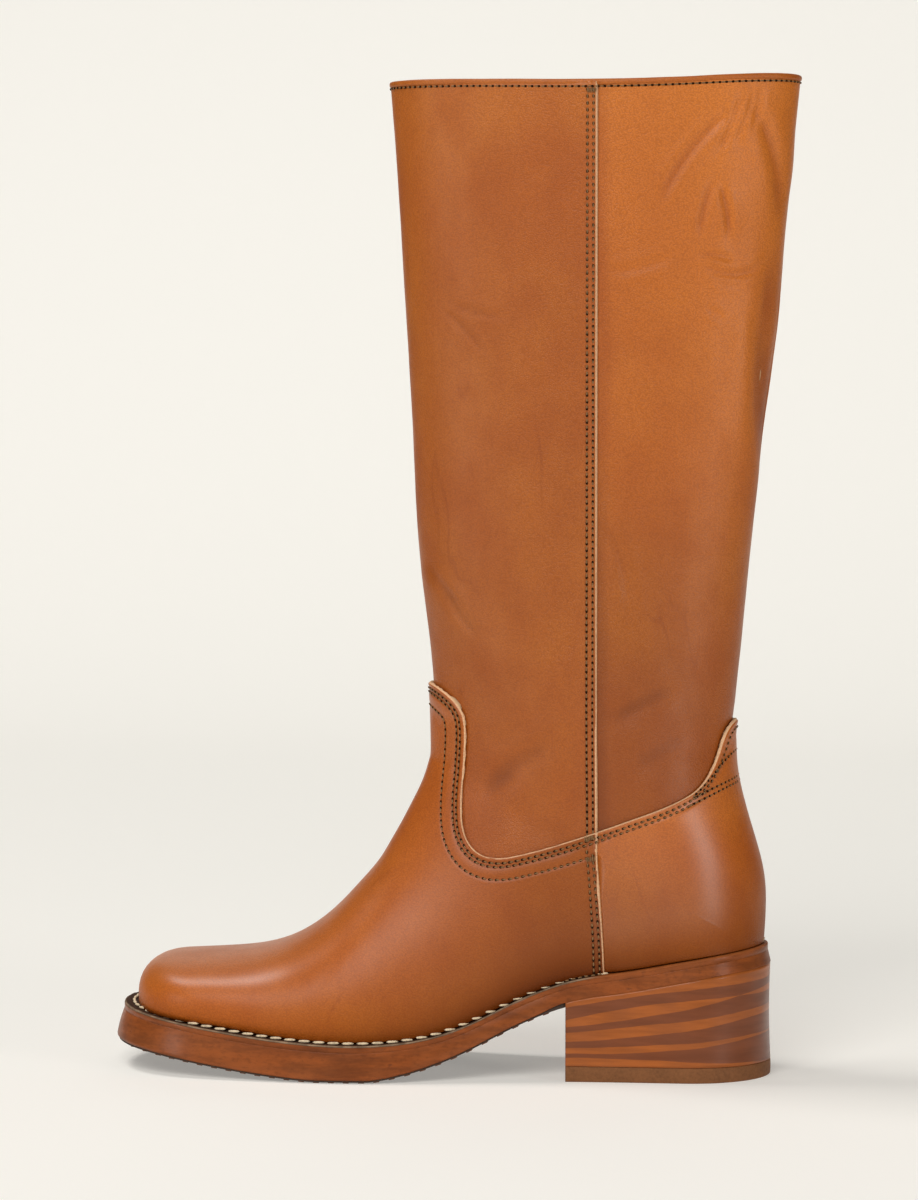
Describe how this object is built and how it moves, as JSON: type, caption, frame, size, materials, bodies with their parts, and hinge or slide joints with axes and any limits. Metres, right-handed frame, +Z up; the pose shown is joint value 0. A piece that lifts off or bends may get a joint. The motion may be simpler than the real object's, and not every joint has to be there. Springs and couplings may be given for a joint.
{
  "type": "knee-high boot",
  "caption": "Knee-high pull-on leather boot with a squared round toe, stitched welt, leather sole and stacked block heel, for the left foot.",
  "frame": {"origin": "middle of the boot's bounding box, on the floor", "axes": "+Z up along the shaft, the toe towards -X, the outer side of the foot towards -Y"},
  "size_m": [0.2914, 0.1064, 0.4188],
  "materials": {
    "tan_leather": "smooth waxed tan leather with fine grain and soft creases",
    "lining_leather": "matt natural leather",
    "welt_leather": "dark brown leather strip with a trimmed edge",
    "sole_leather": "stained and polished sole edge and stacked heel",
    "rubber": "dull brown rubber",
    "brown_thread": "waxed thread",
    "cream_thread": "thick waxed thread"
  },
  "bodies": {
    "root": {"upper": "tan_leather", "vamp": "tan_leather", "counter": "tan_leather", "insole": "lining_leather", "welt": "welt_leather", "outsole": "sole_leather", "tread": "rubber", "heel_stack": "sole_leather", "top_lift": "rubber"}
  },
  "joints": []
}
